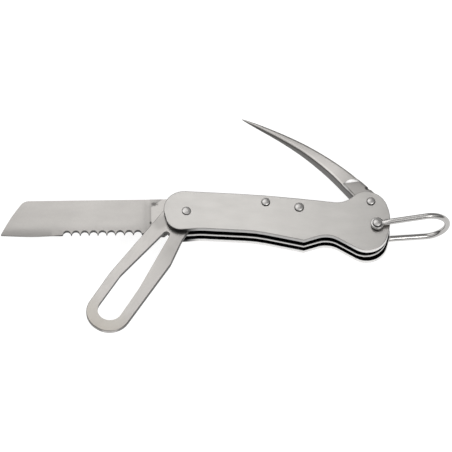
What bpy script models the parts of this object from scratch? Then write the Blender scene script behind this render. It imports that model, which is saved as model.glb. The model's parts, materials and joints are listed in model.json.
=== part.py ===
"""Stainless rigging knife: blade, shackle key and marlinspike in one riveted handle.

The handle lies flat, belly towards -Y, blade end towards -X. Z = 0 is the outer
face of the rear scale and the origin is the middle of that face. Each blade-like
piece is drawn lying along its own +X from its pivot and is turned to the angle
that it stands at. Every length below is in millimetres and is scaled once, when a
mesh is finished.
"""

import math

import bmesh
import bpy
from mathutils import Matrix, Vector

MM = 0.001

# ---- driving dimensions -----------------------------------------------------

SCALE_THICK = 2.4
SLOT_WIDTH = 3.15
LINER_THICK = 1.5
TOOL_THICK = 2.3  # blade and key
GAP = 0.3  # between pieces that touch or turn on the real knife
FIXED_GAP = 0.15  # between a rivet head and the face that it clamps

REAR_SLOT_Z = SCALE_THICK
LINER_Z = REAR_SLOT_Z + SLOT_WIDTH
FRONT_SLOT_Z = LINER_Z + LINER_THICK
FRONT_SCALE_Z = FRONT_SLOT_Z + SLOT_WIDTH
HANDLE_THICK = FRONT_SCALE_Z + SCALE_THICK
MID_Z = HANDLE_THICK / 2
TOOL_GAP = (SLOT_WIDTH - TOOL_THICK) / 2  # on each side of the blade and the key

BLADE_PIVOT = (-45.0, 0.0)
SPRING_PIN_LEFT = (-6.8, 8.3)
SPRING_PIN_RIGHT = (9.7, 6.8)
SPIKE_PIVOT = (44.4, 13.1)
BAIL_PIVOT = (48.4, 0.0)

# angles at which the pieces stand, counter-clockwise from +X
BLADE_ANGLE = 185.6
KEY_ANGLE = 240.3
SPIKE_ANGLE = 146.2
BAIL_ANGLE = 11.9

PIN_RADIUS = 1.5
SPRING_PIN_RADIUS = 1.3
RIVET_CLEARANCE = 0.2  # round a rivet's shank in a fixed plate
TURNING_HOLE = PIN_RADIUS + GAP
TANG_RADIUS = 6.0
SHANKS = {
    BLADE_PIVOT: PIN_RADIUS,
    SPRING_PIN_LEFT: SPRING_PIN_RADIUS,
    SPRING_PIN_RIGHT: SPRING_PIN_RADIUS,
    SPIKE_PIVOT: PIN_RADIUS,
    BAIL_PIVOT: PIN_RADIUS,
}

SPIKE_ROOT_THICK = 2 * SLOT_WIDTH + LINER_THICK - 2 * GAP

WIRE_RADIUS = 1.45
BAIL_REACH = 34.75  # bail pin to the middle of the crossbar wire
BAIL_EYE_Z = HANDLE_THICK / 2 + 1.6  # half distance between the two eyes
BAIL_HALF_SPREAD = 9.9  # half distance between the legs at the bend
EYE_THICK = 1.4
EYE_OUTER = 3.3
WASHER_THICK = 0.45

# the flat patch between the rivets that anything bearing on the handle touches first
PAD = [Vector((-4.0, -4.5)), Vector((4.0, -4.5)), Vector((4.0, 3.0)), Vector((-4.0, 3.0))]
PAD_RISE = 0.02

# ---- outlines: (x, y, corner radius), counter-clockwise ----------------------

BELLY = [
    (-52.3, -11.6, 7.4),
    (-37.5, -9.2, 30.0),
    (-10.0, -8.4, 60.0),
    (13.5, -11.65, 0.5),
    (25.3, -6.6, 11.5),
    (39.1, -13.6, 8.0),
    (51.5, -19.1, 10.2),
]
SCALE_OUTLINE = BELLY + [
    (55.8, 4.9, 25.0),
    (49.6, 17.6, 11.0),
    (39.3, 19.3, 8.1),
    (31.5, 11.1, 10.6),
    (-7.0, 12.4, 500.0),
    (-60.0, 10.9, 9.9),
]
# the liner stops short of the spike's root and of the folded spike
LINER_OUTLINE = BELLY + [
    (54.9, 6.3, 0.8),
    (40.5, 6.1, 6.0),
    (33.0, 10.2, 6.0),
    (20.0, 11.2, 8.0),
    (-15.0, 11.6, 8.0),
    (-22.0, 9.8, 8.0),
    (-44.0, 9.8, 2.0),
    (-48.6, 6.2, 2.0),
    (-55.4, 5.6, 4.0),
]
# the foot on the left presses the tang, the arm on the right the spike's root
SPRING_OUTLINE = [
    (-48.2, 6.3, 0.4),
    (-40.6, 6.3, 1.0),
    (-37.6, 7.8, 3.0),
    (-29.0, 7.8, 12.0),
    (-7.0, 5.0, 14.0),
    (9.5, 4.1, 20.0),
    (28.0, 5.6, 20.0),
    (37.0, 4.7, 6.0),
    (45.6, 4.7, 0.8),
    (45.6, 6.75, 0.6),
    (38.5, 6.75, 6.0),
    (27.0, 10.0, 10.0),
    (17.0, 11.2, 10.0),
    (-15.0, 11.5, 10.0),
    (-22.0, 9.7, 10.0),
    (-48.2, 9.7, 0.5),
]

# tangs: the spine side steps up at STOP_X and meets the end of the spring
STOP_X = 2.9
BLADE_SPINE = -11.1
BLADE_TIP_X = 91.0
BLADE_PROFILE = [
    (STOP_X, BLADE_SPINE, 0.4),
    (79.8, -10.9, 5.0),
    (85.6, -2.2, 45.0),
    (BLADE_TIP_X, 8.0, 0.3),
    (76.0, 8.8, 60.0),
    (61.0, 8.2, 1.0),
    (60.6, 7.95, 0.0),
    (21.0, 7.85, 0.0),
    (19.6, 8.9, 1.0),
    (10.9, 9.2, 0.5),
    (7.4, 6.0, 2.0),
]
KEY_PROFILE = [
    (STOP_X, -10.3, 0.8),
    (24.0, -10.9, 40.0),
    (48.0, -11.8, 40.0),
    (76.6, -10.2, 10.5),
    (76.6, 11.7, 10.5),
    (27.6, 9.9, 6.0),
    (13.6, 6.8, 16.0),
]
KEY_SLOT = [
    (13.4, 0.0, 1.5),
    (13.4, -3.0, 1.6),
    (46.5, -6.8, 6.0),
    (70.8, -5.75, 6.1),
    (70.8, 6.5, 6.1),
    (47.0, 4.9, 40.0),
]

SCALLOP_COUNT = 9
SCALLOP_PITCH = 4.33
SCALLOP_RADIUS = 1.97
SCALLOP_FIRST_X = 23.85
SCALLOP_Y = 7.95
RICASSO_END = 17.7
GRIND_START_X = 57.0
GRIND_FULL_X = 66.0
GRIND_START_Y = 4.0
EDGE_Y = 8.6
EDGE_HALF_THICK = 0.2
RELIEF_DEPTH = 0.12

# spike stations: distance from the pivot, offset of the middle from the chord, width,
# share of the root's thickness, squareness of the section
SPIKE_STATIONS = [
    (3.0, -1.6, 9.6, 1.0, 10.0),
    (12.0, -3.1, 8.9, 1.0, 10.0),
    (23.0, -4.5, 7.3, 0.985, 9.0),
    (33.0, -5.2, 6.1, 0.91, 7.0),
    (46.0, -5.15, 4.8, 0.75, 4.5),
    (59.0, -3.85, 3.7, 0.56, 2.8),
    (70.0, -2.1, 2.6, 0.38, 2.0),
    (77.0, -0.8, 1.35, 0.2, 2.0),
    (80.6, -0.15, 0.4, 0.06, 2.0),
]
# the nail nick is the mark of a bevelled wheel sunk into the spike's front face
NICK_PLACE = (15.6, -4.2)
NICK_TURN = 50.0
NICK_SINK = 1.5
NICK_WHEEL = [(0, -0.9), (7.0, -0.9), (5.35, 1.15), (0, 1.15)]
# the small notch in the spike's back, just outside the handle
BACK_NOTCH = (5.9, -7.4)
BACK_NOTCH_RADIUS = 1.3


# ---- plane geometry ----------------------------------------------------------


def arc(centre, radius, start_deg, end_deg, step_deg=8.0):
    """Points along an arc, both ends included."""
    steps = max(2, math.ceil(abs(end_deg - start_deg) / step_deg))
    points = []
    for i in range(steps + 1):
        angle = math.radians(start_deg + (end_deg - start_deg) * i / steps)
        points.append(Vector((centre[0] + radius * math.cos(angle), centre[1] + radius * math.sin(angle))))
    return points


def corner_arc(before, corner, after, radius):
    """The round that replaces a corner, tangent to both of its edges."""
    here = Vector(corner)
    to_before = (Vector(before) - here).normalized()
    to_after = (Vector(after) - here).normalized()
    opening = to_before.angle(to_after)
    if radius <= 0 or math.pi - opening < 0.01:
        return [here]
    setback = radius / math.tan(opening / 2)
    bisector = (to_before + to_after).normalized()
    centre = here + bisector * (radius / math.sin(opening / 2))
    first = here + to_before * setback - centre
    last = here + to_after * setback - centre
    start = math.degrees(math.atan2(first.y, first.x))
    turn = math.degrees(math.atan2(last.y, last.x)) - start
    turn = (turn + 180) % 360 - 180
    return arc(centre, radius, start, start + turn)


def rounded(corners, closed=True):
    """An outline from (x, y, radius) corners; an open one keeps its two end points."""
    points = []
    count = len(corners)
    for i, (x, y, radius) in enumerate(corners):
        if not closed and i in (0, count - 1):
            points.append(Vector((x, y)))
            continue
        before = corners[i - 1][:2]
        after = corners[(i + 1) % count][:2]
        points += corner_arc(before, (x, y), after, radius)
    return points


def circle(centre, radius, segments=28):
    """A full circle as a closed outline."""
    return arc(centre, radius, 0, 360, 360 / segments)[:-1]


def tang_outline(profile):
    """A tool's outline: its own profile closed by a round tang about the pivot."""
    stop_angle = -math.degrees(math.acos(STOP_X / TANG_RADIUS))
    tang = arc((0, 0), TANG_RADIUS, 90, 360 + stop_angle, 10)
    start = (tang[-1].x, tang[-1].y, 0)
    end = (tang[0].x, tang[0].y, 0)
    return rounded([start] + profile + [end], closed=False)[1:-1] + tang


def inset(points, distance):
    """Moves every point of a counter-clockwise outline inwards by a distance."""
    count = len(points)
    moved = []
    for i, here in enumerate(points):
        along_in = (here - points[i - 1]).normalized()
        along_out = (points[(i + 1) % count] - here).normalized()
        normal_in = Vector((-along_in.y, along_in.x))
        normal_out = Vector((-along_out.y, along_out.x))
        mitre = (normal_in + normal_out).normalized()
        moved.append(here + mitre * distance / max(0.5, mitre.dot(normal_in)))
    return moved


# ---- solids ------------------------------------------------------------------


def ring_of(mesh, points, z):
    """A ring of vertices at one height."""
    return [mesh.verts.new((p.x, p.y, z)) for p in points]


def bridge(mesh, lower, upper):
    """Quads between two rings with the same number of vertices."""
    count = len(lower)
    for i in range(count):
        j = (i + 1) % count
        mesh.faces.new((lower[i], lower[j], upper[j], upper[i]))


def loop_edges(mesh, ring):
    """The edges that join a ring's vertices in order."""
    count = len(ring)
    edges = []
    for i in range(count):
        pair = (ring[i], ring[(i + 1) % count])
        edges.append(mesh.edges.get(pair) or mesh.edges.new(pair))
    return edges


def plate(outline, holes, bottom, top, edge=0.0, rounds=1, pad_side=None):
    """A flat plate with through holes and an eased rim.

    edge is the size of the easing and rounds its number of facets. pad_side puts the
    bearing pad on the lower (0) or the upper (1) face.
    """
    mesh = bmesh.new()
    levels = []
    if edge:
        for i in range(rounds + 1):
            turn = math.pi / 2 * i / rounds
            levels.append((edge * (1 - math.sin(turn)), bottom + edge * (1 - math.cos(turn))))
        levels += [(offset, top + bottom - z) for offset, z in reversed(levels)]
    else:
        levels = [(0.0, bottom), (0.0, top)]
    rings = [ring_of(mesh, inset(outline, offset) if offset else outline, z) for offset, z in levels]
    for lower, upper in zip(rings, rings[1:]):
        bridge(mesh, lower, upper)
    walls = [(ring_of(mesh, hole, bottom), ring_of(mesh, hole, top)) for hole in holes]
    for lower, upper in walls:
        bridge(mesh, upper, lower)
    for face_ring, side in ((rings[0], 0), (rings[-1], 1)):
        edges = loop_edges(mesh, face_ring)
        for wall in walls:
            edges += loop_edges(mesh, wall[side])
        if side == pad_side:
            level = (bottom, top)[side]
            foot = ring_of(mesh, PAD, level)
            crown = ring_of(mesh, PAD, level + (-PAD_RISE, PAD_RISE)[side])
            edges += loop_edges(mesh, foot)
            bridge(mesh, foot, crown)
            mesh.faces.new(crown)
        bmesh.ops.triangle_fill(mesh, edges=edges, use_beauty=True)
    bmesh.ops.recalc_face_normals(mesh, faces=mesh.faces)
    return mesh


def turned(profile, segments=28):
    """A solid of revolution about Z from (radius, z) points, bottom to top."""
    mesh = bmesh.new()
    rings = []
    for radius, z in profile:
        if radius == 0:
            rings.append([mesh.verts.new((0, 0, z))])
        else:
            rings.append(ring_of(mesh, circle((0, 0), radius, segments), z))
    for lower, upper in zip(rings, rings[1:]):
        if len(lower) == 1:
            for i in range(segments):
                mesh.faces.new((lower[0], upper[(i + 1) % segments], upper[i]))
        elif len(upper) == 1:
            for i in range(segments):
                mesh.faces.new((lower[i], lower[(i + 1) % segments], upper[0]))
        else:
            bridge(mesh, lower, upper)
    bmesh.ops.recalc_face_normals(mesh, faces=mesh.faces)
    return mesh


def tube_ring(inner, outer, bottom, top, ease=0.15, segments=28):
    """A washer or bush with eased outer corners."""
    mesh = bmesh.new()
    profile = [
        (inner, bottom),
        (outer - ease, bottom),
        (outer, bottom + ease),
        (outer, top - ease),
        (outer - ease, top),
        (inner, top),
    ]
    rings = [ring_of(mesh, circle((0, 0), radius, segments), z) for radius, z in profile]
    for lower, upper in zip(rings, rings[1:] + rings[:1]):
        bridge(mesh, lower, upper)
    bmesh.ops.recalc_face_normals(mesh, faces=mesh.faces)
    return mesh


def loft(sections):
    """Skin over closed sections with equal point counts, capped at both ends."""
    mesh = bmesh.new()
    rings = [[mesh.verts.new(point) for point in section] for section in sections]
    for lower, upper in zip(rings, rings[1:]):
        bridge(mesh, lower, upper)
    mesh.faces.new(rings[0])
    mesh.faces.new(rings[-1])
    bmesh.ops.recalc_face_normals(mesh, faces=mesh.faces)
    return mesh


def prism(points, bottom, top):
    """A plain extrusion along Z, used by the cutters."""
    return plate(points, [], bottom, top)


# ---- objects -----------------------------------------------------------------


def clear_scene():
    """Removes whatever the file was opened with."""
    for item in list(bpy.data.objects):
        bpy.data.objects.remove(item, do_unlink=True)


def steel(name, colour, roughness):
    """A stainless steel finish."""
    material = bpy.data.materials.new(name)
    material.use_nodes = True
    shader = material.node_tree.nodes["Principled BSDF"]
    shader.inputs["Base Color"].default_value = (*colour, 1)
    shader.inputs["Metallic"].default_value = 1.0
    shader.inputs["Roughness"].default_value = roughness
    material.diffuse_color = (*colour, 1)
    return material


def axis_empty(name, place, angle_deg, parent):
    """An empty on a joint's axis, turned to the angle that its piece stands at."""
    empty = bpy.data.objects.new(name, None)
    bpy.context.scene.collection.objects.link(empty)
    empty.parent = parent
    empty.location = (place[0] * MM, place[1] * MM, 0)
    empty.rotation_euler = (0, 0, math.radians(angle_deg))
    return empty


def add_object(name, mesh, material, parent):
    """Scales a finished mesh to metres and puts it in the scene."""
    bmesh.ops.scale(mesh, vec=(MM, MM, MM), verts=mesh.verts)
    data = bpy.data.meshes.new(name)
    mesh.to_mesh(data)
    mesh.free()
    data.shade_smooth()
    data.set_sharp_from_angle(angle=math.radians(32))
    item = bpy.data.objects.new(name, data)
    bpy.context.scene.collection.objects.link(item)
    item.parent = parent
    if material:
        data.materials.append(material)
    return item


def add_tool_body(target, name, mesh, operation):
    """Cuts or joins another solid into an object with a Boolean modifier."""
    tool = add_object(name, mesh, None, target.parent)
    tool.hide_render = True
    tool.display_type = "WIRE"
    modifier = target.modifiers.new(name, "BOOLEAN")
    modifier.operation = operation
    modifier.solver = "EXACT"
    modifier.object = tool


def rivet_holes(places):
    """Clearance holes through a fixed plate for the rivets at the given places."""
    return [circle(place, SHANKS[place] + RIVET_CLEARANCE) for place in places]


def build_scales(metal, handle):
    """The two outer plates, rounded along the rim, with a pad at the middle of the outer face."""
    outline = rounded(SCALE_OUTLINE)
    holes = rivet_holes(SHANKS)
    rear = plate(outline, holes, PAD_RISE, SCALE_THICK, 0.4, 2, pad_side=0)
    add_object("rear_scale", rear, metal, handle)
    front = plate(outline, holes, FRONT_SCALE_Z, HANDLE_THICK - PAD_RISE, 0.4, 2, pad_side=1)
    add_object("front_scale", front, metal, handle)


def build_liner(metal, handle):
    """The plate between the two slots, which the spike's rivet passes beside."""
    holes = rivet_holes([place for place in SHANKS if place != SPIKE_PIVOT])
    mesh = plate(rounded(LINER_OUTLINE), holes, LINER_Z, LINER_Z + LINER_THICK, 0.2)
    add_object("centre_liner", mesh, metal, handle)


def build_springs(metal, handle):
    """One back spring in each slot."""
    holes = rivet_holes([SPRING_PIN_LEFT, SPRING_PIN_RIGHT])
    for name, slot in (("blade_spring", REAR_SLOT_Z), ("key_spring", FRONT_SLOT_Z)):
        mesh = plate(rounded(SPRING_OUTLINE), holes, slot + GAP, slot + SLOT_WIDTH - GAP, 0.2)
        add_object(name, mesh, metal, handle)


def blade_grind(side, mid_z):
    """The wedge that one side of the edge grind removes; it runs out before the scallops."""
    top = TOOL_THICK / 2 - RELIEF_DEPTH
    reach = 12.0
    slope = (top - EDGE_HALF_THICK) / (EDGE_Y - GRIND_START_Y)
    low = top - slope * (reach - GRIND_START_Y)
    sections = []
    for x, lift in ((GRIND_START_X, 0.75), (GRIND_FULL_X, 0.0), (BLADE_TIP_X + 2, 0.0)):
        section = [(GRIND_START_Y, top + lift), (reach, low + lift), (reach, top + 2), (GRIND_START_Y, top + 2)]
        sections.append([(x, y, mid_z + side * z) for y, z in section])
    return loft(sections)


def blade_relief(side, mid_z):
    """The shallow hollow that sets the ground face below the ricasso."""
    half = TOOL_THICK / 2
    wheel = 20.0
    depth = RELIEF_DEPTH
    run = math.sqrt(2 * wheel * depth - depth * depth)
    section = []
    for i in range(5):
        x = run * i / 4
        section.append((RICASSO_END + x, half - math.sqrt(wheel**2 - (run - x) ** 2) + wheel - depth))
    section += [(BLADE_TIP_X + 2, half - depth), (BLADE_TIP_X + 2, half + 1), (RICASSO_END, half + 1)]
    sections = [[(x, y, mid_z + side * z) for x, z in section] for y in (-14.0, 12.0)]
    return loft(sections)


def build_blade(metal, parent):
    """A sheepsfoot blade: blank, then hollow faces, edge grind and scallops."""
    bottom = REAR_SLOT_Z + TOOL_GAP
    mid_z = bottom + TOOL_THICK / 2
    hole = circle((0, 0), TURNING_HOLE)
    mesh = plate(tang_outline(BLADE_PROFILE), [hole], bottom, bottom + TOOL_THICK)
    blade = add_object("knife_blade", mesh, metal, parent)
    for side, label in ((1, "front"), (-1, "rear")):
        add_tool_body(blade, f"cut_relief_{label}", blade_relief(side, mid_z), "DIFFERENCE")
        add_tool_body(blade, f"cut_grind_{label}", blade_grind(side, mid_z), "DIFFERENCE")
    for i in range(SCALLOP_COUNT):
        x = SCALLOP_FIRST_X + i * SCALLOP_PITCH
        scallop = prism(circle((x, SCALLOP_Y), SCALLOP_RADIUS, 20), bottom - 1, bottom + TOOL_THICK + 1)
        add_tool_body(blade, f"cut_scallop_{i}", scallop, "DIFFERENCE")


def build_key(metal, parent):
    """The flat key, slotted for shackle pins, with chamfered edges."""
    bottom = FRONT_SLOT_Z + TOOL_GAP
    slot = list(reversed(rounded(KEY_SLOT)))
    hole = circle((0, 0), TURNING_HOLE)
    mesh = plate(tang_outline(KEY_PROFILE), [hole, slot], bottom, bottom + TOOL_THICK, 0.3)
    add_object("shackle_key", mesh, metal, parent)


def spike_stations():
    """The stations with one more between each pair, read from a smooth curve."""
    rows = SPIKE_STATIONS
    dense = []
    for i in range(len(rows) - 1):
        before, here, there, after = rows[max(0, i - 1)], rows[i], rows[i + 1], rows[min(len(rows) - 1, i + 2)]
        dense.append(here)
        dense.append(tuple((9 * (b + c) - (a + d)) / 16 for a, b, c, d in zip(before, here, there, after)))
    dense.append(rows[-1])
    return dense


def spike_sections(points=24):
    """Superellipses across the spike, each square to the bowed centre line."""
    stations = spike_stations()
    sections = []
    for i, (x, middle, width, share, squareness) in enumerate(stations):
        before, after = stations[max(0, i - 1)], stations[min(len(stations) - 1, i + 1)]
        lean = math.atan2(after[1] - before[1], after[0] - before[0])
        section = []
        for k in range(points):
            turn = 2 * math.pi * (k + 0.5) / points
            c, s = math.cos(turn), math.sin(turn)
            across = width / 2 * math.copysign(abs(c) ** (2 / squareness), c)
            up = share * SPIKE_ROOT_THICK / 2 * math.copysign(abs(s) ** (2 / squareness), s)
            section.append((x - across * math.sin(lean), middle + across * math.cos(lean), MID_Z + up))
        sections.append(section)
    return sections


def build_spike(metal, parent):
    """The curved spike with a round root, a rivet hole and a nail nick."""
    half = SPIKE_ROOT_THICK / 2
    spike = add_object("marlin_spike", loft(spike_sections()), metal, parent)
    root = plate(circle((0, 0), TANG_RADIUS, 30), [], MID_Z - half, MID_Z + half, 0.25)
    add_tool_body(spike, "join_spike_root", root, "UNION")
    hole = prism(circle((0, 0), TURNING_HOLE), MID_Z - half - 1, MID_Z + half + 1)
    add_tool_body(spike, "cut_spike_hole", hole, "DIFFERENCE")
    add_tool_body(spike, "cut_nail_nick", nick_wheel(MID_Z + half), "DIFFERENCE")
    notch = prism(circle(BACK_NOTCH, BACK_NOTCH_RADIUS, 20), MID_Z - half - 1, MID_Z + half + 1)
    add_tool_body(spike, "cut_back_notch", notch, "DIFFERENCE")


def nick_wheel(surface_z):
    """The wheel that cuts the nail nick, standing on edge over the spike's front face."""
    wheel = turned(NICK_WHEEL, 40)
    for turn, axis in ((90.0, "X"), (NICK_TURN, "Z")):
        spin = Matrix.Rotation(math.radians(turn), 3, axis)
        bmesh.ops.rotate(wheel, verts=wheel.verts, cent=(0, 0, 0), matrix=spin)
    rise = max(radius for radius, _ in NICK_WHEEL) - NICK_SINK
    bmesh.ops.translate(wheel, verts=wheel.verts, vec=(*NICK_PLACE, surface_z + rise))
    return wheel


def bail_leg_section(x, z, direction, wide, tall, points=16):
    """One section of the bail's wire, square to its path in the XZ plane."""
    section = []
    for i in range(points):
        turn = 2 * math.pi * i / points
        across = wide * math.cos(turn)
        up = tall * math.sin(turn)
        section.append((x - up * math.sin(direction), across, MID_Z + z + up * math.cos(direction)))
    return section


def bail_path():
    """The middle of the wire from the upper eye round the bend to the lower eye.

    Rows are x, height over mid handle, direction, half width, half height.
    """
    bend_x = BAIL_REACH - BAIL_HALF_SPREAD
    lean = math.atan2(BAIL_HALF_SPREAD - BAIL_EYE_Z, bend_x)
    rows = []
    for x, wide, tall in ((2.7, 1.3, 0.6), (3.6, 1.5, 0.75), (5.2, 1.5, 1.2), (7.0, WIRE_RADIUS, WIRE_RADIUS)):
        rows.append((x, BAIL_EYE_Z + x * math.tan(lean), lean, wide, tall))
    for i in range(3):
        x = 12.0 + 5.0 * i
        rows.append((x, BAIL_EYE_Z + x * math.tan(lean), lean, WIRE_RADIUS, WIRE_RADIUS))
    steps = 18
    for i in range(steps // 2 + 1):
        turn = math.pi * i / steps
        x = bend_x + BAIL_HALF_SPREAD * math.sin(turn)
        z = BAIL_HALF_SPREAD * math.cos(turn)
        rows.append((x, z, -turn, WIRE_RADIUS, WIRE_RADIUS))
    lower = [(x, -z, -math.pi - direction, wide, tall) for x, z, direction, wide, tall in rows[-2::-1]]
    return rows + lower


def build_bail(metal, parent):
    """A U of round wire whose flattened ends are eyes on the tail rivet."""
    sections = [bail_leg_section(*row) for row in bail_path()]
    bail = add_object("wire_bail", loft(sections), metal, parent)
    for side, label in ((1, "front"), (-1, "rear")):
        middle = MID_Z + side * BAIL_EYE_Z
        eye = tube_ring(TURNING_HOLE, EYE_OUTER, middle - EYE_THICK / 2, middle + EYE_THICK / 2, 0.45)
        add_tool_body(bail, f"join_eye_{label}", eye, "UNION")


def domed_pin(radius, head_radius, dome, under_head):
    """A rivet through the handle with a domed head on each face.

    under_head is the height of the head's underside above the scale.
    """
    reach = HANDLE_THICK / 2 + under_head
    rim = 0.22
    half = [(radius, 0.0), (radius, reach), (head_radius, reach), (head_radius, reach + rim)]
    ball = (head_radius**2 + dome**2) / (2 * dome)
    for i in (1, 2):
        r = head_radius * math.cos(math.pi / 2 * i / 3)
        half.append((r, reach + rim + dome - ball + math.sqrt(ball**2 - r**2)))
    half.append((0, reach + rim + dome))
    lower = [(r, MID_Z - z) for r, z in reversed(half[1:])]
    upper = [(r, MID_Z + z) for r, z in half[1:]]
    return turned(lower + upper)


def build_pins(metal, handle):
    """The five rivets."""
    bail_stack = BAIL_EYE_Z + EYE_THICK / 2 - HANDLE_THICK / 2 + FIXED_GAP
    pins = [
        ("blade_pivot_pin", BLADE_PIVOT, PIN_RADIUS, 2.2, 0.45, FIXED_GAP),
        ("spring_pin_left", SPRING_PIN_LEFT, SPRING_PIN_RADIUS, 2.2, 0.8, FIXED_GAP),
        ("spring_pin_right", SPRING_PIN_RIGHT, SPRING_PIN_RADIUS, 2.4, 0.8, FIXED_GAP),
        ("spike_pivot_pin", SPIKE_PIVOT, PIN_RADIUS, 2.15, 0.8, FIXED_GAP),
        ("bail_pin", BAIL_PIVOT, PIN_RADIUS, 2.35, 0.9, bail_stack),
    ]
    for name, place, radius, head, dome, under in pins:
        pin = add_object(name, domed_pin(radius, head, dome, under), metal, handle)
        pin.location = (place[0] * MM, place[1] * MM, 0)


def build_bushes(metal, handle):
    """Spacers inside the handle and washers under the eyes, all on the bail pin."""
    washer = BAIL_EYE_Z - EYE_THICK / 2 - HANDLE_THICK / 2 - WASHER_THICK
    rings = [
        ("bail_spacer_rear", 3.0, REAR_SLOT_Z + FIXED_GAP, SLOT_WIDTH - 2 * FIXED_GAP),
        ("bail_spacer_front", 3.0, FRONT_SLOT_Z + FIXED_GAP, SLOT_WIDTH - 2 * FIXED_GAP),
        ("bail_washer_rear", 3.1, -washer / 2 - WASHER_THICK, WASHER_THICK),
        ("bail_washer_front", 3.1, HANDLE_THICK + washer / 2, WASHER_THICK),
    ]
    for name, outer, bottom, height in rings:
        ring = add_object(name, tube_ring(PIN_RADIUS + 0.2, outer, bottom, bottom + height, 0.1), metal, handle)
        ring.location = (BAIL_PIVOT[0] * MM, BAIL_PIVOT[1] * MM, 0)


def main():
    """Builds the whole knife with its tools out."""
    clear_scene()
    brushed = steel("brushed stainless", (0.56, 0.54, 0.52), 0.38)
    ground = steel("ground stainless", (0.54, 0.52, 0.50), 0.34)
    polished = steel("polished stainless", (0.68, 0.67, 0.66), 0.14)
    spring = steel("spring steel", (0.42, 0.41, 0.40), 0.42)

    handle = axis_empty("handle_frame", (0, 0), 0, None)
    build_scales(brushed, handle)
    build_liner(brushed, handle)
    build_springs(spring, handle)
    build_pins(polished, handle)
    build_bushes(polished, handle)
    build_blade(ground, axis_empty("blade_axis", BLADE_PIVOT, BLADE_ANGLE, handle))
    build_key(ground, axis_empty("key_axis", BLADE_PIVOT, KEY_ANGLE, handle))
    build_spike(ground, axis_empty("spike_axis", SPIKE_PIVOT, SPIKE_ANGLE, handle))
    build_bail(polished, axis_empty("bail_axis", BAIL_PIVOT, BAIL_ANGLE, handle))


main()
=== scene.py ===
"""Looks for the rigging knife: finer pieces, metal finishes, studio light and the camera.

Everything is in metres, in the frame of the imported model: +X along the handle towards
the bail, +Y towards the handle's back, +Z through the rivets to the front scale.
"""

import json
import math

import bmesh
import bpy
from mathutils import Matrix, Vector


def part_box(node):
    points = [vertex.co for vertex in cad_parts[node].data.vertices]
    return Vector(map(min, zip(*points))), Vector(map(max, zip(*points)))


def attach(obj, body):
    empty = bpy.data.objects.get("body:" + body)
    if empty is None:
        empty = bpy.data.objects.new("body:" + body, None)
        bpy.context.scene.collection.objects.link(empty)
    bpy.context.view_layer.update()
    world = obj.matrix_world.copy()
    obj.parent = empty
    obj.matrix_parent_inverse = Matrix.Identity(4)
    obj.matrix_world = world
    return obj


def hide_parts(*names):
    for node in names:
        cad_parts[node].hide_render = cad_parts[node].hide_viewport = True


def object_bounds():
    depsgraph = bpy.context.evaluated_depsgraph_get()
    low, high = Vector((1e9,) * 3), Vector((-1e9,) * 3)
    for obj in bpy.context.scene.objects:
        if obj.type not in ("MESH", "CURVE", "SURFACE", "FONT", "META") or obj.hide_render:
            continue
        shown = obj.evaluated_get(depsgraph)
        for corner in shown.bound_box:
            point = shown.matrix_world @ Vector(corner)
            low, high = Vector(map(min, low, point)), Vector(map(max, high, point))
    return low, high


MM = 0.001

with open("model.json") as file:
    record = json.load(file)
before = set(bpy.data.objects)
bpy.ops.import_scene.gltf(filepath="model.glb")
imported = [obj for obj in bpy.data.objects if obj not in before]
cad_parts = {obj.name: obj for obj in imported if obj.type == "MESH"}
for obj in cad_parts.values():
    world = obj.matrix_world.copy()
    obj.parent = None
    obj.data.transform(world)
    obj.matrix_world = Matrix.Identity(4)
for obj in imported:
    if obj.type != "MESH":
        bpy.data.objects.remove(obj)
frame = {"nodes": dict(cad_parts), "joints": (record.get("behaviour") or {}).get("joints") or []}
cad_low, cad_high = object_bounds()
NODES = frame["nodes"]
JOINTS = {joint["name"]: Vector(joint["pos_m"]) for joint in frame["joints"]}

# the rear scale's outer face lies at z = 0; the middle plane is in metres and in millimetres
HANDLE_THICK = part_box("front_scale")[1].z
MID_Z = HANDLE_THICK / 2
MID = MID_Z / MM

# angles at which the pieces stand at rest, counter-clockwise from +X
BLADE_ANGLE = math.radians(185.6)
KEY_ANGLE = math.radians(240.3)
SPIKE_ANGLE = math.radians(146.2)
BAIL_ANGLE = math.radians(11.9)

# the easing of the plates' and flat tools' edges
EASE = 0.08 * MM
# the corners of a turned piece's circle
ROUND = 56
# the bearing pad of a scale's outer face stands this far out
PAD = 0.02 * MM

# the spike's nail nick, a conical cut: the angle of its axis, and how far its faces lean along
# that axis; then the painted highlight that covers it, as centre, half size and level, in millimetres
NICK_AXIS = SPIKE_ANGLE + math.radians(140)
NICK_LEAN = 0.627
NICK_HIGHLIGHT_PATCH = ((15.2, -4.4), (5.0, 7.0), 0.0)

# the bail, in millimetres: the wire's radius, the reach of its middle line from the rivet, the
# height of an eye over the scale, and the eye's inner and outer radius and half thickness
WIRE = 1.45
BAIL_REACH = 34.72
EYE_RISE = 1.6
EYE_INNER, EYE_OUTER, EYE_HALF = 1.8, 3.3, 0.7
# the flattened end of a leg: distance from the rivet, half width and half thickness
LEG_END = ((2.7, 1.25, 0.6), (3.6, 1.5, 0.72), (4.6, 1.62, 1.0), (6.0, 1.5, 1.36), (7.5, WIRE, WIRE))
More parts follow.
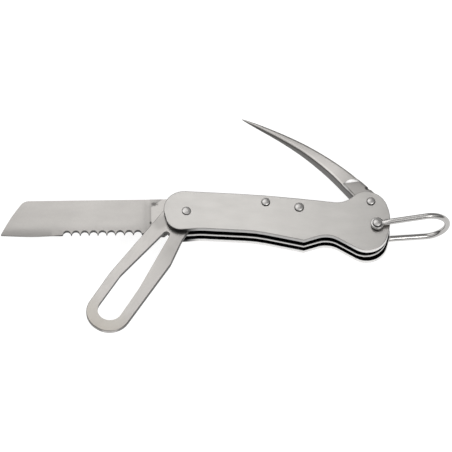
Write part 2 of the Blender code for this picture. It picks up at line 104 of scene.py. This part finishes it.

# colours of the metals: a plate's satin face and its edges, in linear light
# SCALE_EDGE, the scales' edges, is lighter than their satin faces, as a painted reflection of the
# white table
SATIN, LINER_EDGE, SCALE_EDGE = (0.525, 0.510, 0.490), (0.66, 0.65, 0.64), (0.86, 0.85, 0.84)
# the blade's edge colour is dark as painted shade; the key's edge colour is darkened by painted shade
# in key_wall_shades
GROUND, BLADE_EDGE_SHADE, KEY_EDGE = (0.455, 0.438, 0.420), (0.085, 0.082, 0.08), (0.50, 0.48, 0.47)
# the spike's edge colour is dark as painted shade
SPIKE_FACE, SPIKE_EDGE = (0.53, 0.51, 0.49), (0.13, 0.125, 0.12)
# the near white of the nail nick's faces is a painted highlight
NICK_HIGHLIGHT_COLOUR = (0.97, 0.96, 0.95)
SPRING_STEEL = (0.30, 0.29, 0.28)
WIRE_STEEL = (0.43, 0.42, 0.41)
CROWN, CROWN_DULL, CROWN_BRIGHT = (0.48, 0.47, 0.46), (0.44, 0.43, 0.42), (0.55, 0.535, 0.52)
# the washers and spacers under the bail's eyes are near black, as painted shade
WASHER_FACE, WASHER_EDGE = (0.06, 0.06, 0.06), (0.04, 0.04, 0.04)
# near black round the rivets' seats, as painted shade
SEAT_SHADE = (0.02, 0.02, 0.02)
# near black on the faces inside the slots, as painted shade
SLOT_SHADE = (0.012, 0.012, 0.013)

# the point of the handle's middle plane that the lens axis meets, and the picture's width there
AIM = Vector((-0.0253, -0.0032, MID_Z))
VIEW_SPAN = 0.2210
VIEW_AZIMUTH, VIEW_ELEVATION = math.radians(4.9), math.radians(60)

# the table: half its width in metres, its grey, its own glow, and its gap below the model
TABLE_HALF, TABLE_GREY, TABLE_GLOW, TABLE_GAP = 15.0, (0.36, 0.36, 0.36), 0.82, 0.1 * MM
# soft lights aimed at the origin: name, place, width and depth, watts
LIGHTS = (
    ("overhead", (-0.41, 0.45, 0.85), (0.9, 0.70), 3.3),
    ("front", (0.42, -0.55, 0.72), (0.35, 0.30), 2.0),
)


# ---- node helpers ------------------------------------------------------------


def set_range(node, low, high, to_low, to_high):
    """Fills in the limits of a Map Range node."""
    names = ("From Min", "From Max", "To Min", "To Max")
    for name, number in zip(names, (low, high, to_low, to_high)):
        node.inputs[name].default_value = number


class Shader:
    """A material under construction: short calls for the nodes that the finishes use."""

    def __init__(self, name, colour, roughness, metallic=1.0):
        self.material = bpy.data.materials.new(name)
        self.material.use_nodes = True
        self.tree = self.material.node_tree
        self.surface = self.tree.nodes["Principled BSDF"]
        self.surface.inputs["Base Color"].default_value = (*colour, 1)
        self.surface.inputs["Roughness"].default_value = roughness
        self.surface.inputs["Metallic"].default_value = metallic
        self.material.diffuse_color = (*colour, 1)

    def node(self, kind, **settings):
        """Adds a node and sets its properties."""
        made = self.tree.nodes.new("ShaderNode" + kind)
        for key, value in settings.items():
            setattr(made, key, value)
        return made

    def link(self, source, target):
        """Joins two sockets."""
        self.tree.links.new(source, target)

    def place(self, origin=(0, 0, 0), angle=0.0):
        """Coordinates in millimetres of a piece that stands at an angle about origin."""
        coordinate = self.node("TexCoord")
        mapping = self.node("Mapping", vector_type="TEXTURE")
        mapping.inputs["Location"].default_value = origin
        mapping.inputs["Rotation"].default_value = (0, 0, angle)
        mapping.inputs["Scale"].default_value = (MM, MM, MM)
        self.link(coordinate.outputs["Object"], mapping.inputs["Vector"])
        return mapping.outputs["Vector"]

    def stretched(self, vector, scale):
        """The coordinates scaled along each axis, for streaks."""
        mapping = self.node("Mapping", vector_type="POINT")
        mapping.inputs["Scale"].default_value = scale
        self.link(vector, mapping.inputs["Vector"])
        return mapping.outputs["Vector"]

    def noise(self, vector, scale, detail=3.0, roughness=0.55):
        """A noise value from 0 to 1."""
        made = self.node("TexNoise")
        made.inputs["Scale"].default_value = scale
        made.inputs["Detail"].default_value = detail
        made.inputs["Roughness"].default_value = roughness
        self.link(vector, made.inputs["Vector"])
        return made.outputs["Fac"]

    def ranged(self, value, low, high, to_low, to_high, smooth=False):
        """Maps a value from one range to another, clamped."""
        made = self.node("MapRange")
        made.interpolation_type = "SMOOTHSTEP" if smooth else "LINEAR"
        set_range(made, low, high, to_low, to_high)
        self.link(value, made.inputs["Value"])
        return made.outputs["Result"]

    def math(self, operation, first, second=None):
        """Arithmetic on sockets or numbers."""
        made = self.node("Math", operation=operation)
        for socket, value in zip(made.inputs, (first, second)):
            if value is None:
                continue
            if isinstance(value, (int, float)):
                socket.default_value = value
            else:
                self.link(value, socket)
        return made.outputs["Value"]

    def axis(self, vector, name):
        """One component of a vector."""
        made = self.node("SeparateXYZ")
        self.link(vector, made.inputs["Vector"])
        return made.outputs[name]

    def mix(self, factor, first, second):
        """A colour between two colours or sockets."""
        made = self.node("Mix", data_type="RGBA")
        # inputs 6 and 7 and output 2 are this node's colours
        self.link(factor, made.inputs["Factor"])
        for socket, value in ((made.inputs[6], first), (made.inputs[7], second)):
            if isinstance(value, tuple):
                socket.default_value = (*value, 1)
            else:
                self.link(value, socket)
        return made.outputs[2]

    def times(self, first, *others):
        """The product of colours or factors."""
        for other in others:
            made = self.node("VectorMath", operation="MULTIPLY")
            self.link(first, made.inputs[0])
            self.link(other, made.inputs[1])
            first = made.outputs["Vector"]
        return first

    def stops(self, value, pairs):
        """A grey or coloured factor that follows (value, level) pairs, straight between them."""
        low, high = pairs[0][0], pairs[-1][0]
        ramp = self.node("ValToRGB")
        elements = ramp.color_ramp.elements
        while len(elements) < len(pairs):
            elements.new(0.5)
        for element, (at, level) in zip(elements, pairs):
            element.position = (at - low) / (high - low)
            element.color = (*level, 1) if isinstance(level, tuple) else (level, level, level, 1)
        self.link(self.ranged(value, low, high, 0.0, 1.0), ramp.inputs["Fac"])
        return ramp.outputs["Color"]

    def ragged(self, vector, reach):
        """The coordinates pushed about by up to reach, for marks with uneven edges."""
        push = self.node("TexNoise")
        push.inputs["Scale"].default_value = 0.9
        self.link(vector, push.inputs["Vector"])
        made = self.node("VectorMath", operation="MULTIPLY_ADD")
        self.link(push.outputs["Color"], made.inputs[0])
        made.inputs[1].default_value = (2 * reach, 2 * reach, 0.0)
        self.link(vector, made.inputs[2])
        shifted = self.node("VectorMath", operation="SUBTRACT")
        self.link(made.outputs["Vector"], shifted.inputs[0])
        shifted.inputs[1].default_value = (reach, reach, 0.0)
        return shifted.outputs["Vector"]

    def spot(self, vector, centre, size, level):
        """A soft round mark: 1 outside it and level at its centre, which lies in the plane."""
        offset = self.node("Mapping", vector_type="TEXTURE")
        offset.inputs["Location"].default_value = (*centre, 0)
        offset.inputs["Scale"].default_value = (*size, 1000.0)
        self.link(vector, offset.inputs["Vector"])
        length = self.node("VectorMath", operation="LENGTH")
        self.link(offset.outputs["Vector"], length.inputs[0])
        return self.ranged(length.outputs["Value"], 0.4, 1.0, level, 1.0, True)

    def colour(self, socket):
        """Drives the base colour."""
        self.link(socket, self.surface.inputs["Base Color"])

    def rough(self, socket):
        """Drives the roughness."""
        self.link(socket, self.surface.inputs["Roughness"])

    def bump(self, height, distance):
        """Drives the normal with a height in units of distance."""
        made = self.node("Bump")
        made.inputs["Strength"].default_value = 1.0
        made.inputs["Distance"].default_value = distance
        self.link(height, made.inputs["Height"])
        self.link(made.outputs["Normal"], self.surface.inputs["Normal"])

    def normal(self, name):
        """One component of the surface's own direction."""
        return self.axis(self.node("TexCoord").outputs["Normal"], name)

    def tilt(self):
        """1 on faces that lie in the plane of the handle, down to 0 on walls square to it."""
        return self.math("ABSOLUTE", self.normal("Z"))

    def between(self, value, low, high, soft):
        """1 where a value lies between two limits, with soft ends."""
        rise = self.ranged(value, low - soft, low + soft, 0.0, 1.0)
        fall = self.ranged(value, high - soft, high + soft, 1.0, 0.0)
        return self.math("MULTIPLY", rise, fall)


# ---- finishes ----------------------------------------------------------------


def brushed(
    name, face, wall, roughness=0.34, place=(), inside=False, shades=None, wall_shades=None, nick=None
):
    """Satin stainless: fine streaks, a soft drift of tone, and edges mottled duller than their given
    colour.

    place is (origin, angle) of a piece that stands at an angle. inside paints the faces
    that look into the slots near black, as painted shade. shades and wall_shades return
    factors for the faces and the walls from the shader and the place, painted light and
    shade among them. nick is the centre, the size and the inner level of a painted
    highlight that leaves the nail nick's hollow near white.
    """
    shader = Shader(name, face, roughness)
    place = shader.place(*place)
    grain = shader.stretched(place, (0.05, 1.0, 1.0))
    streaks = shader.noise(grain, 9.0, 4.0, 0.7)
    fine = shader.noise(grain, 30.0, 2.0, 0.6)
    drift = shader.noise(shader.stretched(place, (0.4, 1.0, 1.0)), 0.16, 2.0)
    streaky, drifting = shader.math("MULTIPLY", streaks, 0.5), shader.math("MULTIPLY", drift, 0.5)
    tone = shader.math("ADD", streaky, drifting)
    darker = tuple(0.91 * c for c in face)
    lighter = tuple(min(1.0, 1.08 * c) for c in face)
    faces = shader.mix(shader.ranged(tone, 0.3, 0.7, 0.0, 1.0), darker, lighter)
    dull = tuple(0.7 * c for c in wall)
    walls = shader.mix(shader.noise(shader.stretched(place, (1.0, 1.0, 0.15)), 2.5), dull, wall)
    if shades:
        faces = shader.times(faces, *shades(shader, place))
    if wall_shades:
        walls = shader.times(walls, *wall_shades(shader, place))
    # painted highlight: the nail nick's leaning faces are painted near white
    if nick:
        cut = shader.ranged(shader.spot(place, *nick), 0.0, 0.9, 1.0, 0.0)
        cut = shader.math("MULTIPLY", cut, shader.between(shader.tilt(), 0.45, 0.96, 0.02))
        faces = shader.mix(cut, faces, NICK_HIGHLIGHT_COLOUR)
    # painted shade: the faces that look into the slots are painted near black
    if inside:
        # a scale's inner face lies 3.9 mm from the middle plane and its outer face 6.3 mm
        height = shader.math("ABSOLUTE", shader.math("SUBTRACT", shader.axis(place, "Z"), MID))
        slot_shade_mask = shader.ranged(height, 5.0, 5.2, 1.0, 0.0)
        faces = shader.mix(slot_shade_mask, faces, SLOT_SHADE)
    # 1 on faces, 0 on walls
    flat = shader.ranged(shader.tilt(), 0.5, 0.85, 0.0, 1.0)
    if nick:
        flat = shader.math("MAXIMUM", flat, cut)
    shader.colour(shader.mix(flat, walls, faces))
    spread = shader.ranged(streaks, 0.3, 0.7, roughness - 0.05, roughness + 0.05)
    spread = shader.math("ADD", spread, shader.ranged(flat, 0.0, 1.0, 0.08, 0.0))
    if nick:
        spread = shader.math("ADD", spread, shader.math("MULTIPLY", cut, 0.25))
    shader.rough(spread)
    shader.bump(shader.math("ADD", streaks, shader.math("MULTIPLY", fine, 0.5)), 0.004 * MM)
    return shader.material


def scale_shades(shader, place):
    """A scale's face: painted light and shade, duller towards both ends, with a darker line along the
    belly's rim.
    """
    along = shader.stops(shader.axis(place, "X"), (
        (-60.0, 0.85), (-48.0, 0.92), (-25.0, 0.98), (0.0, 1.0),
        (35.0, 0.99), (48.0, 0.93), (57.0, 0.82),
    ))
    # painted shade: the eased rim along the belly is darker where it turns down
    eased = shader.ranged(shader.tilt(), 0.93, 0.97, 1.0, 0.0)
    belly = shader.ranged(shader.normal("Y"), -0.30, -0.10, 1.0, 0.0)
    lobe = shader.ranged(shader.axis(place, "X"), 36.0, 44.0, 1.0, 0.0)
    edged = shader.math("MULTIPLY", shader.math("MULTIPLY", eased, belly), lobe)
    rim = shader.ranged(edged, 0.0, 1.0, 1.0, 0.5)
    return along, rim


def front_wall_shades(shader, place):
    """The front scale's rim: painted shade, near black beside the tools' tangs and dimmer along the
    middle, and full brightness round the lobe as a painted reflection of the white table.
    """
    along = shader.stops(shader.axis(place, "X"), (
        (-60.0, 0.01), (-44.0, 0.01), (-38.0, 0.55), (-30.0, 0.56),
        (34.0, 0.56), (42.0, 1.0), (60.0, 1.0),
    ))
    return (along,)


def rear_wall_shades(shader, place):
    """The rear scale's rim: near black beside the tools' tangs as painted shade, at its full colour
    from there to the lobe.
    """
    along = ((-60.0, 0.01), (-44.0, 0.01), (-38.0, 1.0), (60.0, 1.0))
    return (shader.stops(shader.axis(place, "X"), along),)


def blade_shades(shader, place):
    """The blade: a blanked ricasso, painted shade along the plunge line, a ground face, darker towards
    the tip and in a band towards the edge, and a painted shadow at the foot of the plunge line.
    """
    x, y = shader.axis(place, "X"), shader.axis(place, "Y")
    # the ground face starts at a line across the blade, with a corner cut off at the spine
    square = shader.math("SUBTRACT", x, 17.5)
    slant = shader.math("MULTIPLY", shader.math("ADD", y, 6.6), -0.77)
    slant = shader.math("ADD", shader.math("MULTIPLY", square, 0.63), slant)
    past = shader.math("MAXIMUM", square, slant)
    # painted shade: darker along the plunge line, where the ground face curves up
    plunge = shader.stops(past, ((-0.5, 1.0), (0.1, 0.62), (1.6, 0.72), (4.5, 0.88), (8.0, 0.90)))
    along = shader.stops(x, ((0.0, 1.0), (47.0, 1.0), (62.0, 0.94), (76.0, 0.89), (92.0, 0.85)))
    across = shader.stops(y, (
        (-11.5, 1.0), (2.0, 0.99), (3.8, 0.95), (5.5, 0.88), (8.0, 0.90), (9.0, 1.0),
    ))
    mottle = shader.ranged(shader.noise(place, 1.3, 4.0, 0.7), 0.3, 0.7, 0.95, 1.0)
    # painted shadow: a dark spot at the foot of the plunge line, where it meets the key's edge
    notch_shade = shader.spot(place, (17.55, 2.2), (0.7, 1.1), 0.2)
    scuff = shader.spot(shader.ragged(place, 1.2), (15.6, -8.3), (2.4, 1.3), 0.45)
    return plunge, along, across, mottle, notch_shade, scuff


def key_shades(shader, place):
    """The key: duller and warmer at its far end, with painted shade beside the tang and at its spine
    by the handle.
    """
    x, y = shader.axis(place, "X"), shader.axis(place, "Y")
    along = shader.stops(x, (
        (0.0, 0.97), (47.0, 0.97), (60.0, 0.94),
        (69.0, (0.88, 0.87, 0.84)), (84.0, (0.76, 0.73, 0.68)),
    ))
    # painted shade: darker beside the tang
    near = shader.ranged(x, 20.0, 34.0, 1.0, 0.0)
    side = shader.ranged(y, -2.0, 5.0, 0.0, 1.0)
    shaded = shader.ranged(shader.math("MULTIPLY", near, side), 0.0, 1.0, 1.0, 0.82)
    # painted shade: a soft dark patch at the key's spine by the handle
    spine_shade = shader.spot(place, (11.0, -7.5), (6.0, 4.5), 0.80)
    return along, shaded, spine_shade


def key_wall_shades(shader, place):
    """The key's edges: dark as painted shade, less of it at the far end, with a painted highlight
    along the far end's side.
    """
    x, y = shader.axis(place, "X"), shader.axis(place, "Y")
    along = shader.stops(x, ((0.0, 0.17), (66.0, 0.17), (72.0, 0.5), (76.0, 0.5)))
    far = shader.ranged(x, 69.0, 71.0, 0.0, 1.0)
    # painted highlight: a bright line along the side of the far end
    far_glint = shader.math("MULTIPLY", far, shader.between(y, 3.5, 9.5, 0.5))
    return (shader.mix(far_glint, along, (1.0, 1.0, 1.0)),)


def spike_shades(shader, place):
    """The spike: dark beside the handle, brightest past the nick, duller to the tip."""
    along = shader.stops(shader.axis(place, "X"), (
        (0.0, 0.70), (13.0, 0.72), (16.5, 0.86), (20.0, 0.98), (26.0, 1.0),
        (36.0, 0.90), (45.0, 0.79), (58.0, 0.75), (80.0, 0.70),
    ))
    return along, shader.spot(place, (7.0, -5.9), (1.5, 1.3), 0.25)


def polished(name, colour, roughness):
    """Polished stainless with the faint haze of handling."""
    shader = Shader(name, colour, roughness)
    place = shader.place()
    haze = shader.noise(place, 0.35, 4.0)
    shader.rough(shader.ranged(haze, 0.35, 0.7, roughness, roughness + 0.07))
    shader.bump(shader.noise(place, 0.8, 2.0), 0.0012 * MM)
    return shader.material


# ---- mesh helpers ------------------------------------------------------------


def new_piece(name, mesh, material, body, sharp_deg, replaced):
    """Turns a bmesh in metres into a smooth-shaded piece that replaces CAD nodes on a body."""
    data = bpy.data.meshes.new(name)
    mesh.to_mesh(data)
    mesh.free()
    data.shade_smooth()
    data.set_sharp_from_angle(angle=math.radians(sharp_deg))
    item = bpy.data.objects.new(name, data)
    bpy.context.scene.collection.objects.link(item)
    data.materials.append(material)
    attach(item, body)
    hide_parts(*replaced)
    return item


def refined(node, material, body, bevel=EASE, sharp_deg=32):
    """A welded copy of a CAD node with eased edges and smooth shading."""
    mesh = bmesh.new()
    mesh.from_mesh(NODES[node].data)
    bmesh.ops.remove_doubles(mesh, verts=mesh.verts, dist=1e-7)
    sink_pad(mesh, node)
    flat = math.radians(0.4)
    bmesh.ops.dissolve_limit(mesh, angle_limit=flat, verts=mesh.verts, edges=mesh.edges)
    piece = new_piece(node + "_fine", mesh, material, body, sharp_deg, (node,))
    if bevel:
        modifier = piece.modifiers.new("eased edges", "BEVEL")
        modifier.width = bevel
        modifier.segments = 2
        modifier.limit_method = "ANGLE"
        modifier.angle_limit = math.radians(40)
        modifier.harden_normals = True
    weighted = piece.modifiers.new("flat faces stay flat", "WEIGHTED_NORMAL")
    weighted.keep_sharp = True
    return piece


def crisp_nick(spike):
    """Sharpens the edges round the nail nick, whose faces all lean alike along its axis."""
    axis = Vector((math.cos(NICK_AXIS), math.sin(NICK_AXIS), 0))
    tolerance, fold = 0.03, math.radians(14)
    mesh = bmesh.new()
    mesh.from_mesh(spike.data)
    for face in mesh.faces:
        if abs(face.normal.dot(axis) - NICK_LEAN) < tolerance and face.normal.z > 0.5:
            for edge in face.edges:
                if edge.calc_face_angle(0) > fold:
                    edge.smooth = False
    mesh.to_mesh(spike.data)
    mesh.free()


def sink_pad(mesh, node):
    """Lays the bearing pad of a scale's outer face into the face round it."""
    if node == "rear_scale":
        pad, level = [v for v in mesh.verts if v.co.z < PAD / 2], PAD
    elif node == "front_scale":
        pad = [v for v in mesh.verts if v.co.z > HANDLE_THICK - PAD / 2]
        level = HANDLE_THICK - PAD
    else:
        return
    for vertex in pad:
        vertex.co.z = level
    bmesh.ops.remove_doubles(mesh, verts=mesh.verts, dist=1e-6)


# ---- plates and tools --------------------------------------------------------


def dress_plates():
    """Scales, liner and springs."""
    # inside=True paints the faces that look into the slots near black, as painted shade
    liner = brushed("satin liner", SATIN, LINER_EDGE, inside=True)
    spring = brushed("spring steel", SPRING_STEEL, SPRING_STEEL, 0.42, inside=True)
    for node, wall_shades in (("front_scale", front_wall_shades), ("rear_scale", rear_wall_shades)):
        scale = brushed(
            "satin " + node, SATIN, SCALE_EDGE, inside=True, shades=scale_shades,
            wall_shades=wall_shades,
        )
        refined(node, scale, "handle", 0, 15)
    refined("centre_liner", liner, "handle")
    for node in ("blade_spring", "key_spring"):
        refined(node, spring, "handle")


def dress_tools():
    """Blade, key and spike."""
    tools = (
        ("knife_blade", "blade", BLADE_ANGLE, GROUND, BLADE_EDGE_SHADE, blade_shades, None, None),
        ("shackle_key", "key", KEY_ANGLE, GROUND, KEY_EDGE, key_shades, key_wall_shades, None),
        ("marlin_spike", "spike", SPIKE_ANGLE, SPIKE_FACE, SPIKE_EDGE, spike_shades, None, NICK_HIGHLIGHT_PATCH),
    )
    for node, body, angle, face, wall, shades, wall_shades, nick in tools:
        pivot = tuple(JOINTS[body + "_pivot"])
        finish = brushed(
            "ground " + body, face, wall, place=(pivot, angle), shades=shades, wall_shades=wall_shades,
            nick=nick,
        )
        # the spike's corners are rounded in its own shape, so only the flat tools are eased
        piece = refined(node, finish, body, 0 if nick else EASE, 30)
        if nick:
            crisp_nick(piece)


# ---- rivets and bail ---------------------------------------------------------


def circle(mesh, radius, z, centre):
    """Adds a level ring of vertices, or one where the radius is 0, sizes in millimetres."""
    ring = []
    for i in range(ROUND if radius else 1):
        turn = 2 * math.pi * i / ROUND
        offset = Vector((radius * math.cos(turn), radius * math.sin(turn), z)) * MM
        ring.append(mesh.verts.new(offset + centre))
    return ring


def turned(profile, centre, closed=False):
    """A solid of revolution about Z from (radius, z) points in millimetres.

    A closed profile joins its last point to its first, as a washer's does.
    """
    mesh = bmesh.new()
    rings = [circle(mesh, radius, z, centre) for radius, z in profile]
    for lower, upper in zip(rings, rings[1:] + (rings[:1] if closed else [])):
        for i in range(ROUND):
            j = (i + 1) % ROUND
            corners = (lower[i % len(lower)], lower[j % len(lower)])
            corners += (upper[j % len(upper)], upper[i % len(upper)])
            mesh.faces.new(list(dict.fromkeys(corners)))
    bmesh.ops.recalc_face_normals(mesh, faces=mesh.faces)
    return mesh


def peened(name, dark, clear):
    """A rivet's satin crown over a near-black band of painted shade at its seat, dark to one height
    and clear from the other.

    Both heights are in millimetres from the handle's middle plane.
    """
    shader = Shader(name, CROWN, 0.36)
    place = shader.place((0, 0, MID_Z))
    height = shader.math("ABSOLUTE", shader.axis(place, "Z"))
    grain = shader.noise(place, 2.2, 3.0)
    crown = shader.mix(shader.ranged(grain, 0.35, 0.65, 0.0, 1.0), CROWN_DULL, CROWN_BRIGHT)
    clear_of_seat_shade = shader.ranged(height, dark, clear, 0.0, 1.0, True)
    shader.colour(shader.mix(clear_of_seat_shade, SEAT_SHADE, crown))
    shader.rough(shader.ranged(grain, 0.3, 0.7, 0.30, 0.42))
    shader.bump(grain, 0.02 * MM)
    return shader.material


def rivet(node, shank, seat, crown):
    """A rivet with a rounded head at each end, as high and wide as its CAD node.

    seat is the height of the head's underside over the scale and crown the part of the
    head that is domed, both in millimetres.
    """
    low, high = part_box(node)
    centre = (low + high) / 2
    centre.z = 0
    head = (high.x - low.x) / 2 / MM
    top = high.z / MM
    under = HANDLE_THICK / MM + seat
    rim = top - crown
    half = [(shank, under), (head - 0.12, under), (head, under + 0.1), (head, rim)]
    # the dome is a little fuller than an ellipse at its shoulder and flatter at its top
    steps, shoulder, flatness = 12, 0.86, 1.15
    for i in range(1, steps + 1):
        turn = math.pi / 2 * i / steps
        radius = head * math.cos(turn) ** shoulder if i < steps else 0.0
        half.append((radius, rim + crown * math.sin(turn) ** flatness))
    lower = [(radius, 2 * MID - z) for radius, z in reversed(half)]
    mesh = turned(lower + half, centre)
    # the lower part of each head is painted near black, the painted shade round its seat
    material = peened(node + " steel", rim + 0.08 * crown - MID, rim + 0.60 * crown - MID)
    new_piece(node + "_fine", mesh, material, "handle", 50, (node,))


def bail_rows(spread, eye_z):
    """Sections along the bail: (x, z, direction, half width, half thickness), in millimetres.

    spread is a leg's greatest height over the middle plane, and eye_z its height at the rivet.
    """
    bend_x = BAIL_REACH - spread
    lean = math.atan2(spread - eye_z, bend_x)
    rows = [(x, eye_z + x * math.tan(lean), lean, wide, tall) for x, wide, tall in LEG_END]
    start, straight, bend = LEG_END[-1][0], 12, 22
    for i in range(1, straight):
        x = start + (bend_x - start) * i / straight
        rows.append((x, eye_z + x * math.tan(lean), lean, WIRE, WIRE))
    for i in range(bend + 1):
        turn = math.pi / 2 * i / bend
        x, z = bend_x + spread * math.sin(turn), spread * math.cos(turn)
        rows.append((x, z, -turn, WIRE, WIRE))
    # the other leg mirrors this one, and they share the row at the tip
    mirrored = rows[-2::-1]
    rows += [(x, -z, -math.pi - direction, wide, tall) for x, z, direction, wide, tall in mirrored]
    return rows


def tube(rows, pivot):
    """A closed tube through the bail's sections, turned to its angle about the pivot."""
    spin = Matrix.Rotation(BAIL_ANGLE, 3, "Z")
    mesh = bmesh.new()
    rings = []
    points = 48
    for x, z, direction, wide, tall in rows:
        ring = []
        for k in range(points):
            turn = 2 * math.pi * k / points
            up = tall * math.sin(turn)
            place = (x - up * math.sin(direction), wide * math.cos(turn), z + up * math.cos(direction))
            ring.append(mesh.verts.new(spin @ (Vector(place) * MM) + pivot))
        rings.append(ring)
    for before, after in zip(rings, rings[1:]):
        for k in range(points):
            j = (k + 1) % points
            mesh.faces.new((before[k], before[j], after[j], after[k]))
    mesh.faces.new(rings[0])
    mesh.faces.new(rings[-1])
    bmesh.ops.recalc_face_normals(mesh, faces=mesh.faces)
    return mesh


def wire_bail(material):
    """A U of round wire whose flattened ends are eyes on the tail rivet."""
    low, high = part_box("wire_bail")
    spread = (high.z - low.z) / 2 / MM - WIRE
    eye_z = MID + EYE_RISE
    pivot = Vector((JOINTS["bail_pivot"].x, JOINTS["bail_pivot"].y, MID_Z))
    mesh = tube(bail_rows(spread, eye_z), pivot)
    bail = new_piece("wire_bail_fine", mesh, material, "bail", 40, ("wire_bail",))
    for side, label in ((1, "front"), (-1, "rear")):
        join(bail, eye_ring(side * eye_z, pivot), "eye_" + label)


def eye_ring(height, centre):
    """An eye of the bail: a washer with a rounded rim, its middle at a height over the centre."""
    corner, rim, steps = 0.1, 0.45, 8
    flat = EYE_OUTER - rim
    profile = [(EYE_INNER, -EYE_HALF + corner), (EYE_INNER + corner, -EYE_HALF), (flat, -EYE_HALF)]
    for i in range(1, steps):
        turn = math.pi * i / steps - math.pi / 2
        profile.append((flat + rim * math.cos(turn), EYE_HALF * math.sin(turn)))
    profile += [(flat, EYE_HALF), (EYE_INNER + corner, EYE_HALF), (EYE_INNER, EYE_HALF - corner)]
    return turned([(radius, z + height) for radius, z in profile], centre, closed=True)


def join(piece, mesh, name):
    """Unites another solid with a piece and keeps the result as the piece's mesh."""
    data = bpy.data.meshes.new(name)
    mesh.to_mesh(data)
    mesh.free()
    other = bpy.data.objects.new(name, data)
    bpy.context.scene.collection.objects.link(other)
    union = piece.modifiers.new(name, "BOOLEAN")
    union.operation = "UNION"
    union.solver = "EXACT"
    union.object = other
    graph = bpy.context.evaluated_depsgraph_get()
    result = bpy.data.meshes.new_from_object(piece.evaluated_get(graph), depsgraph=graph)
    piece.modifiers.clear()
    piece.data = result
    result.shade_smooth()
    result.set_sharp_from_angle(angle=math.radians(40))
    bpy.data.objects.remove(other, do_unlink=True)


def dress_fittings():
    """Rivets, bushes and the bail."""
    bright = polished("polished wire", WIRE_STEEL, 0.18)
    # painted shade: the washers and spacers are near black, for the dark line under the bail's eyes
    dull = brushed("washer in painted shade", WASHER_FACE, WASHER_EDGE, 0.45)
    # node, then in millimetres: the shank's radius, the seat's height and the crown's
    rivets = (
        ("blade_pivot_pin", 1.5, 0.15, 0.5),
        ("spring_pin_left", 1.3, 0.15, 0.85),
        ("spring_pin_right", 1.3, 0.15, 0.85),
        ("spike_pivot_pin", 1.5, 0.15, 0.85),
        ("bail_pin", 1.5, 2.45, 0.95),
    )
    for node, shank, seat, crown in rivets:
        rivet(node, shank, seat, crown)
    for node in ("bail_spacer_front", "bail_spacer_rear", "bail_washer_front", "bail_washer_rear"):
        refined(node, dull, "handle", 0)
    wire_bail(bright)


# ---- studio and camera -------------------------------------------------------


def area_light(name, place, size, power):
    """A soft rectangular light aimed at the origin."""
    data = bpy.data.lights.new(name, "AREA")
    data.shape = "RECTANGLE"
    data.size, data.size_y = size
    data.energy = power
    light = bpy.data.objects.new(name, data)
    bpy.context.scene.collection.objects.link(light)
    light.location = place
    light.rotation_mode = "QUATERNION"
    light.rotation_quaternion = (-Vector(place)).to_track_quat("-Z", "Y")


def build_studio():
    """A white table, an uneven surround and two soft lights."""
    mesh = bmesh.new()
    bmesh.ops.create_grid(mesh, x_segments=1, y_segments=1, size=TABLE_HALF)
    data = bpy.data.meshes.new("table")
    mesh.to_mesh(data)
    mesh.free()
    table = bpy.data.objects.new("table", data)
    bpy.context.scene.collection.objects.link(table)
    table.location = (0, 0, cad_low.z - TABLE_GAP)
    paint = Shader("lit white table", TABLE_GREY, 0.7, 0.0)
    paint.surface.inputs["Emission Color"].default_value = (1, 1, 1, 1)
    paint.surface.inputs["Emission Strength"].default_value = TABLE_GLOW
    data.materials.append(paint.material)

    build_surround()
    for light in LIGHTS:
        area_light(*light)


def build_surround():
    """A room that is bright high up in front and dim elsewhere, most of all low in front."""
    world = bpy.data.worlds.new("surround")
    world.use_nodes = True
    tree = world.node_tree
    direction = tree.nodes.new("ShaderNodeTexCoord")
    split = tree.nodes.new("ShaderNodeSeparateXYZ")
    tree.links.new(direction.outputs["Generated"], split.inputs["Vector"])

    def ramp(axis, low, high, to_low, to_high):
        made = tree.nodes.new("ShaderNodeMapRange")
        made.interpolation_type = "SMOOTHSTEP"
        set_range(made, low, high, to_low, to_high)
        tree.links.new(split.outputs[axis], made.inputs["Value"])
        return made

    front = ramp("Z", 0.28, 0.62, 0.10, 0.95)
    back = ramp("Y", -0.2, 0.35, 0.0, 1.0)
    blend = tree.nodes.new("ShaderNodeMix")
    blend.inputs["B"].default_value = 0.30
    tree.links.new(back.outputs["Result"], blend.inputs["Factor"])
    tree.links.new(front.outputs["Result"], blend.inputs["A"])
    tree.links.new(blend.outputs["Result"], tree.nodes["Background"].inputs["Strength"])
    tree.nodes["Background"].inputs["Color"].default_value = (1, 1, 1, 1)
    bpy.context.scene.world = world


def build_camera():
    """A long lens from in front and above, as the product is usually shown."""
    data = bpy.data.cameras.new("camera")
    data.lens = 400
    data.sensor_width = 36
    distance = VIEW_SPAN * data.lens / data.sensor_width
    back = Vector((
        math.sin(VIEW_AZIMUTH) * math.cos(VIEW_ELEVATION),
        -math.cos(VIEW_AZIMUTH) * math.cos(VIEW_ELEVATION),
        math.sin(VIEW_ELEVATION),
    ))
    camera = bpy.data.objects.new("camera", data)
    bpy.context.scene.collection.objects.link(camera)
    camera.location = AIM + back * distance
    camera.rotation_mode = "QUATERNION"
    camera.rotation_quaternion = (-back).to_track_quat("-Z", "Y")
    data.clip_end = 20
    bpy.context.scene.camera = camera


dress_plates()
dress_tools()
dress_fittings()
build_studio()
build_camera()
bpy.context.scene.view_settings.view_transform = "Standard"
